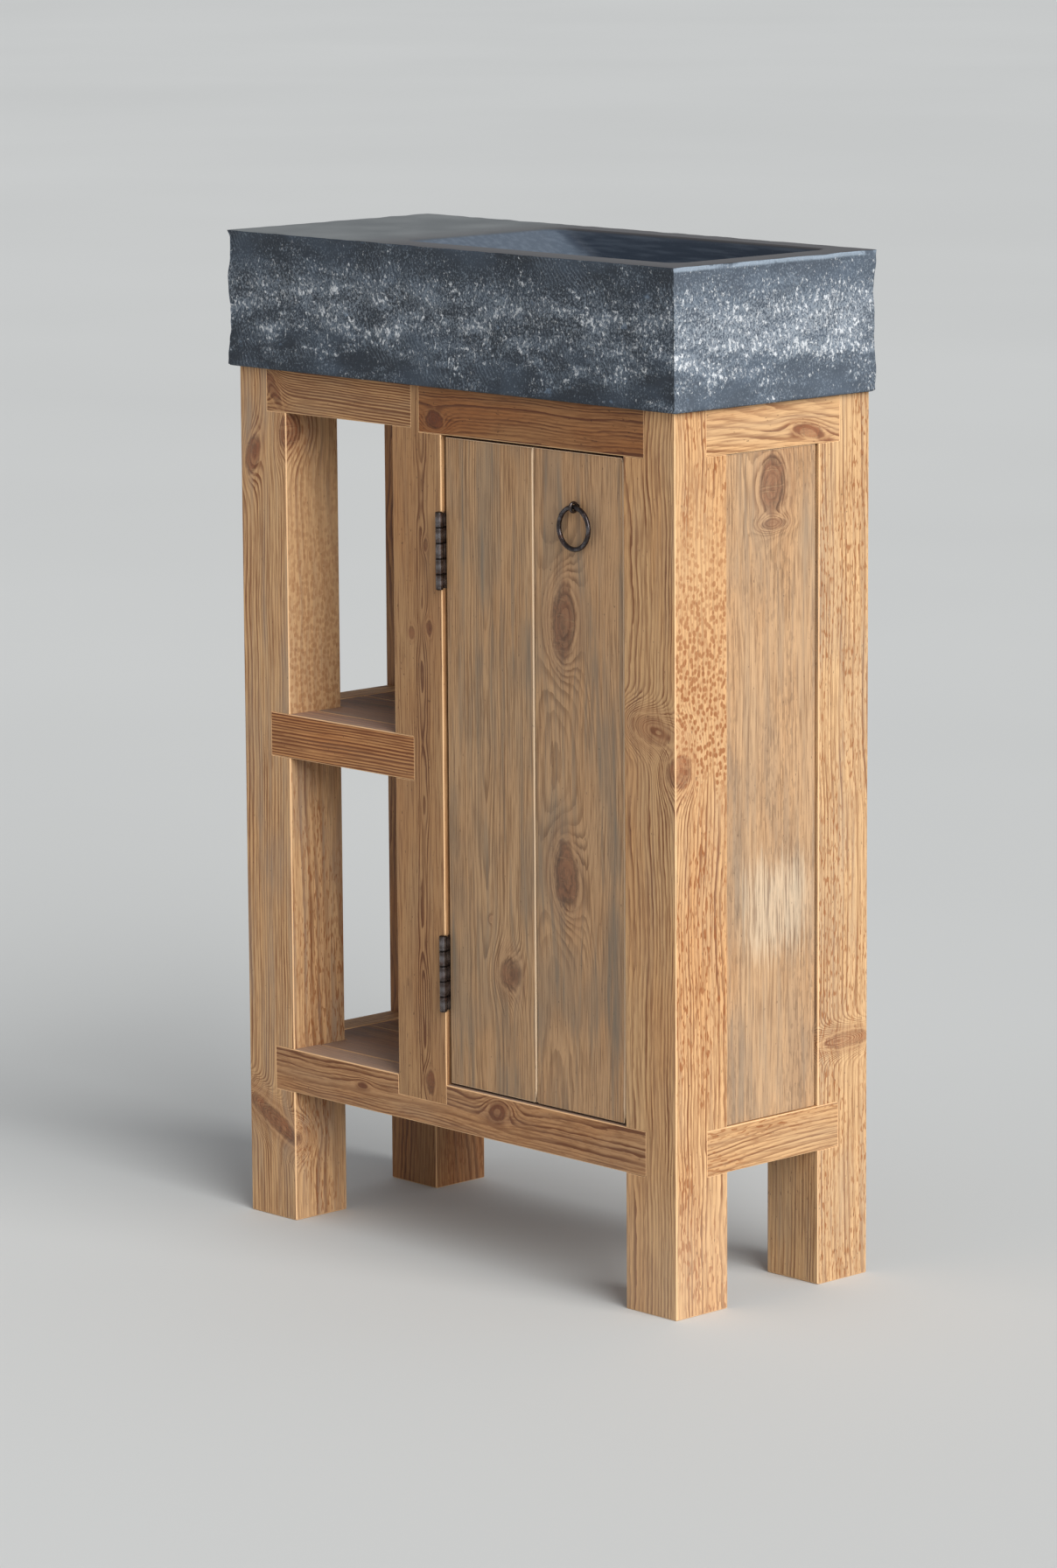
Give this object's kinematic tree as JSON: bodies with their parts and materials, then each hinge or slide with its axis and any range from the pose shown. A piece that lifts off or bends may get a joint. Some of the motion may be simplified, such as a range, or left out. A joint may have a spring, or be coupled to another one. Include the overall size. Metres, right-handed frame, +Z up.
{
  "type": "bathroom vanity cabinet",
  "caption": "Narrow freestanding washstand: half-lapped reclaimed pine frame, open shelf bay, ledged plank door with ring pull, and a rough stone basin with a ramped bowl.",
  "frame": {"origin": "on the floor, at the middle of the basin's width and depth", "axes": "+Z up, -Y towards the front with the door, +X to the right as seen from the front"},
  "size_m": [0.57, 0.245, 0.9],
  "materials": {
    "frame_pine": "planed and oiled reclaimed pine",
    "weathered_boards": "weathered grey-brown pine board",
    "shelf_pine": "plain sawn pine",
    "basin_stone": "rough-hewn sides, honed top and bowl",
    "aged_iron": "dark waxed iron, worn bright on the high spots",
    "zinc_screws": "yellow-grey zinc",
    "catch_plastic": "brown moulded plastic",
    "magnet_ferrite": "grey sintered magnet",
    "striker_steel": "zinc-plated plate"
  },
  "bodies": {
    "cabinet": {"back_bottom_rail": "frame_pine", "back_middle_rail": "frame_pine", "back_top_rail": "frame_pine", "basin": "basin_stone", "bottom_board_back": "shelf_pine", "bottom_board_front": "shelf_pine", "bottom_cleat_back": "shelf_pine", "bottom_cleat_front": "shelf_pine", "catch_body": "catch_plastic", "catch_magnet": "magnet_ferrite", "catch_screws": "zinc_screws", "cleat_screws": "zinc_screws", "divider_panel": "shelf_pine", "front_bottom_rail": "frame_pine", "front_top_rail_left": "frame_pine", "front_top_rail_right": "frame_pine", "hinge_screws_frame": "aged_iron", "left_bottom_rail": "frame_pine", "left_middle_rail": "frame_pine", "left_top_rail": "frame_pine", "lower_hinge_frame_leaf": "aged_iron", "lower_hinge_pin": "aged_iron", "middle_stile": "frame_pine", "post_back_left": "frame_pine", "post_back_right": "frame_pine", "post_front_left": "frame_pine", "post_front_right": "frame_pine", "right_bottom_rail": "frame_pine", "right_top_rail": "frame_pine", "shelf_board_back": "shelf_pine", "shelf_board_front": "shelf_pine", "shelf_cleat_left": "shelf_pine", "shelf_cleat_right": "shelf_pine", "shelf_front_rail": "frame_pine", "side_panel": "weathered_boards", "top_bearer": "frame_pine", "upper_hinge_frame_leaf": "aged_iron", "upper_hinge_pin": "aged_iron"},
    "door": {"door_plank_left": "weathered_boards", "door_plank_right": "weathered_boards", "door_batten_top": "weathered_boards", "door_batten_bottom": "weathered_boards", "door_batten_screws": "zinc_screws", "catch_striker": "striker_steel", "striker_screws": "zinc_screws", "ring_eye": "aged_iron", "upper_hinge_door_leaf": "aged_iron", "lower_hinge_door_leaf": "aged_iron", "hinge_screws_door": "aged_iron"},
    "ring": {"pull_ring": "aged_iron"}
  },
  "joints": [
    {"name": "door_hinge", "type": "hinge", "parent": "cabinet", "child": "door", "pos_m": [-0.01, -0.1181, 0.4485], "axis": [0, 0, -1], "range_deg": [0, 180]},
    {"name": "ring_swing", "type": "hinge", "parent": "door", "child": "ring", "pos_m": [0.1575, -0.11685, 0.689], "axis": [-1, 0, 0], "range_deg": [-3, 170]}
  ]
}
